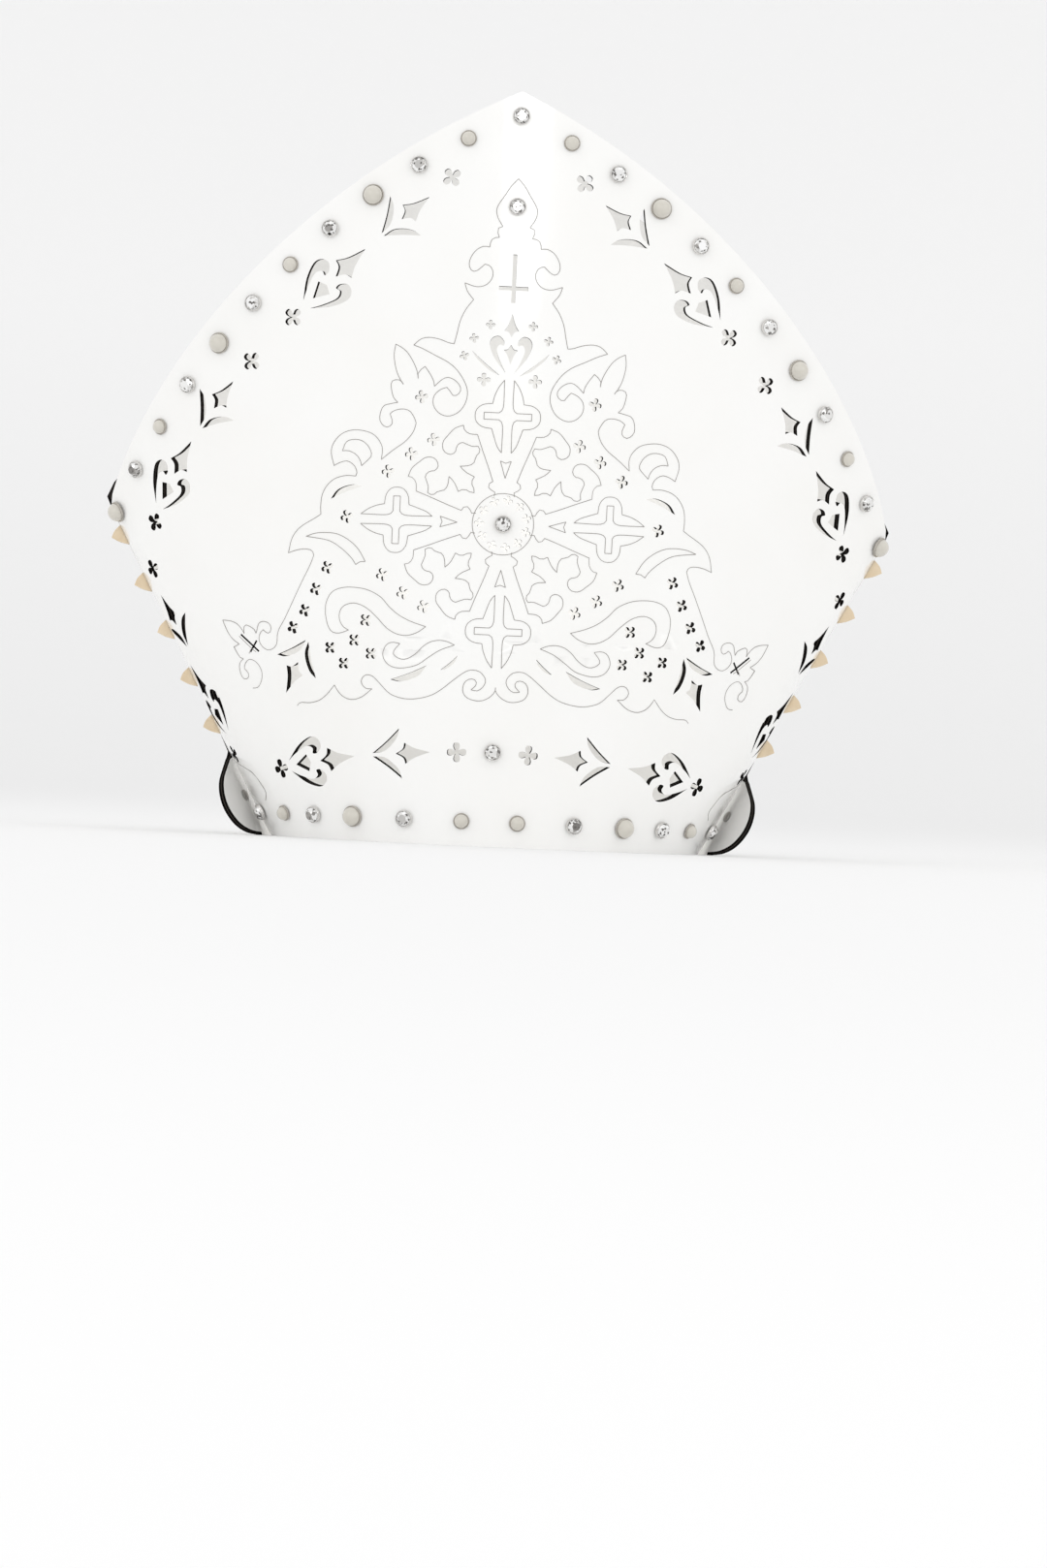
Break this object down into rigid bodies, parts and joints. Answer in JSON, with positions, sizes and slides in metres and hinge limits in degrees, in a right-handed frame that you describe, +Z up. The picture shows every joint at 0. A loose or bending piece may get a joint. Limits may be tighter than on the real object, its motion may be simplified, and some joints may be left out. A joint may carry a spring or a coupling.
{
  "type": "bishop mitre",
  "caption": "Bishop's mitre of stiff white leather, open at the rim and between its two pointed leaves, pierced and studded in front.",
  "frame": {"origin": "on the floor under the middle of the mitre's bounding box, at the level of the rim", "axes": "+Z up, -Y out of the pierced front leaf, +X to the right when facing the front"},
  "size_m": [0.317, 0.1844, 0.295],
  "materials": {
    "patent_leather": "high gloss white patent with dark cut edges",
    "tan_leather": "raw suede side, natural tan",
    "crystal": "cut and polished, in a bright metal setting",
    "pearl": "pearl lustre in a bright metal rim",
    "nickel": "polished"
  },
  "bodies": {
    "root": {"back_panel": "patent_leather", "crystal_border": "crystal", "crystal_finial": "crystal", "crystal_rim_left_02": "crystal", "crystal_rim_left_04": "crystal", "crystal_rim_left_06": "crystal", "crystal_rim_right_02": "crystal", "crystal_rim_right_04": "crystal", "crystal_rim_right_06": "crystal", "crystal_rosette": "crystal", "crystal_top": "crystal", "crystal_upper_left_02": "crystal", "crystal_upper_left_04": "crystal", "crystal_upper_left_06": "crystal", "crystal_upper_left_08": "crystal", "crystal_upper_left_10": "crystal", "crystal_upper_right_02": "crystal", "crystal_upper_right_04": "crystal", "crystal_upper_right_06": "crystal", "crystal_upper_right_08": "crystal", "crystal_upper_right_10": "crystal", "front_panel": "patent_leather", "large_pearl_rim_left_03": "pearl", "large_pearl_rim_right_03": "pearl", "large_pearl_upper_left_03": "pearl", "large_pearl_upper_left_07": "pearl", "large_pearl_upper_left_11": "pearl", "large_pearl_upper_right_03": "pearl", "large_pearl_upper_right_07": "pearl", "large_pearl_upper_right_11": "pearl", "side_teeth_left": "tan_leather", "side_teeth_right": "tan_leather", "small_pearl_rim_left_01": "pearl", "small_pearl_rim_left_05": "pearl", "small_pearl_rim_right_01": "pearl", "small_pearl_rim_right_05": "pearl", "small_pearl_upper_left_01": "pearl", "small_pearl_upper_left_05": "pearl", "small_pearl_upper_left_09": "pearl", "small_pearl_upper_right_01": "pearl", "small_pearl_upper_right_05": "pearl", "small_pearl_upper_right_09": "pearl", "tab_rivet_left": "nickel", "tab_rivet_right": "nickel"}
  },
  "joints": []
}
